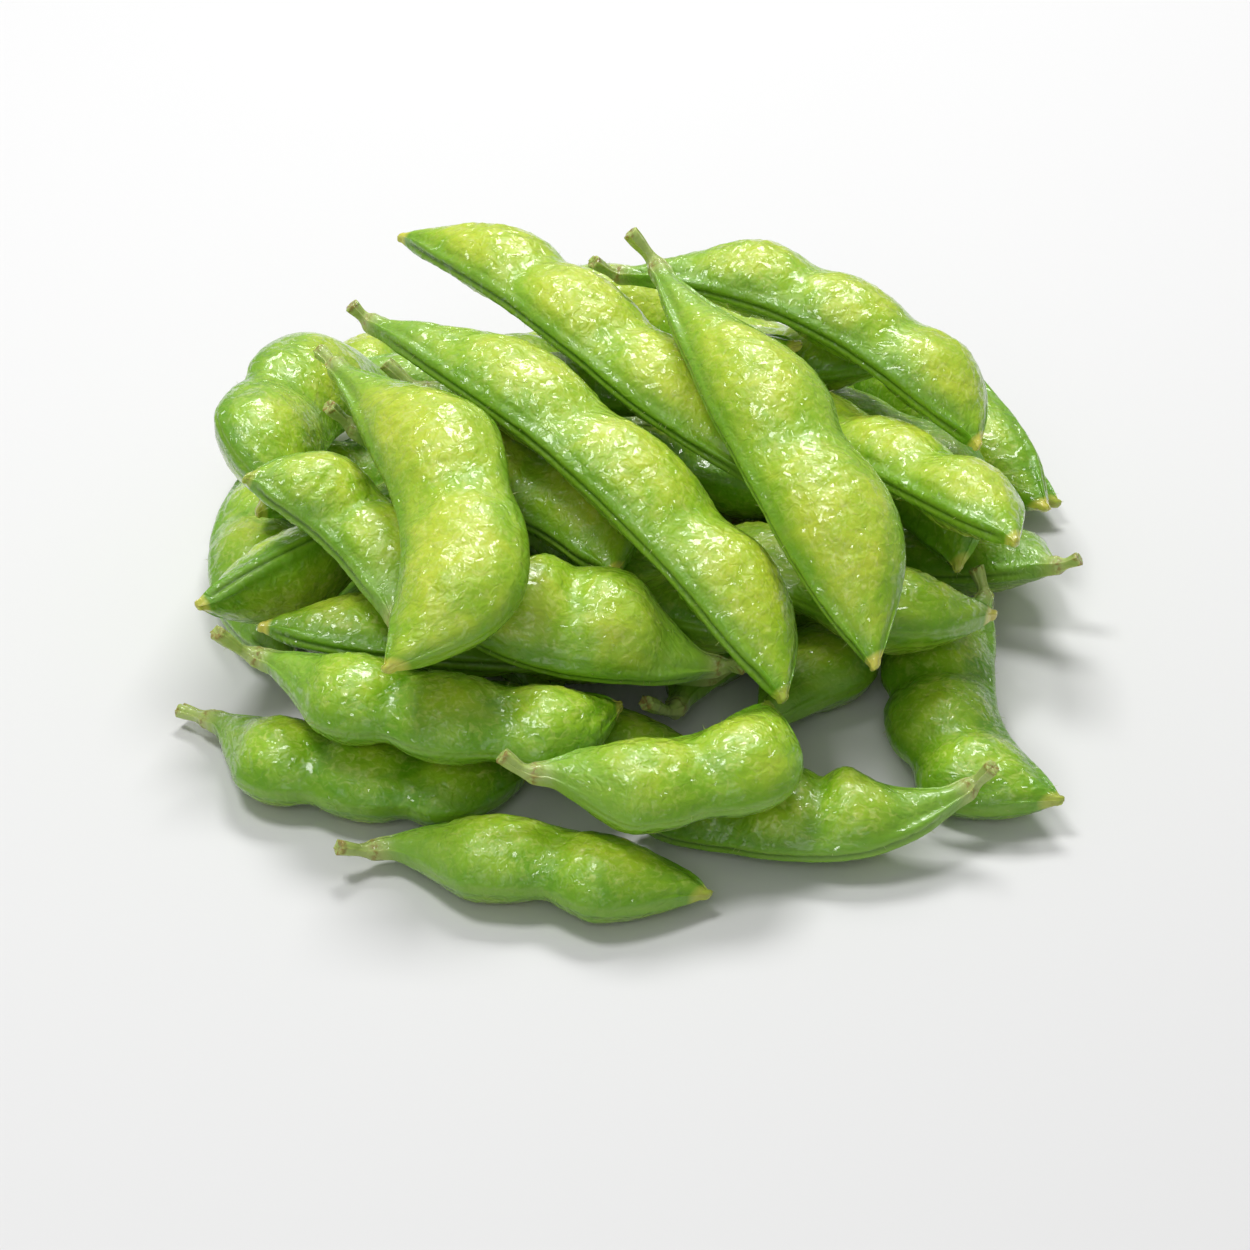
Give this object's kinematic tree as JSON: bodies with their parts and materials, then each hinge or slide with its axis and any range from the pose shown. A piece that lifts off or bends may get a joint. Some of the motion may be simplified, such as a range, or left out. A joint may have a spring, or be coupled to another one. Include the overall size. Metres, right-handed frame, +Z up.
{
  "type": "edamame pod bundle",
  "caption": "Loose heap of boiled edamame pods with bean bulges, raised seams, pointed tips and short cut stalks, resting on a flat surface.",
  "frame": {"origin": "on the surface that the heap rests on, under the middle of its bounding box", "axes": "+Z up; -Y towards the viewer's side, where the lower ends of the top pods point; +X to the viewer's right"},
  "size_m": [0.1202, 0.1318, 0.049],
  "materials": {
    "pod_skin": "wet, glossy boiled pod skin"
  },
  "bodies": {
    "root": {"pod_base_01": "pod_skin", "pod_base_02": "pod_skin", "pod_base_03": "pod_skin", "pod_base_04": "pod_skin", "pod_base_05": "pod_skin", "pod_base_06": "pod_skin", "pod_base_07": "pod_skin", "pod_base_08": "pod_skin", "pod_base_09": "pod_skin", "pod_base_10": "pod_skin", "pod_base_11": "pod_skin", "pod_base_12": "pod_skin", "pod_base_13": "pod_skin", "pod_base_14": "pod_skin", "pod_base_15": "pod_skin", "pod_edge_01": "pod_skin", "pod_edge_02": "pod_skin", "pod_edge_03": "pod_skin", "pod_edge_04": "pod_skin", "pod_edge_05": "pod_skin", "pod_edge_06": "pod_skin", "pod_edge_07": "pod_skin", "pod_edge_08": "pod_skin", "pod_edge_09": "pod_skin", "pod_edge_10": "pod_skin", "pod_edge_11": "pod_skin", "pod_edge_12": "pod_skin", "pod_mid_01": "pod_skin", "pod_mid_02": "pod_skin", "pod_mid_03": "pod_skin", "pod_mid_04": "pod_skin", "pod_mid_05": "pod_skin", "pod_mid_06": "pod_skin", "pod_mid_07": "pod_skin", "pod_mid_08": "pod_skin", "pod_core_01": "pod_skin", "pod_core_02": "pod_skin", "pod_core_03": "pod_skin", "pod_top_01": "pod_skin", "pod_top_02": "pod_skin", "pod_top_03": "pod_skin", "pod_top_04": "pod_skin"}
  },
  "joints": []
}
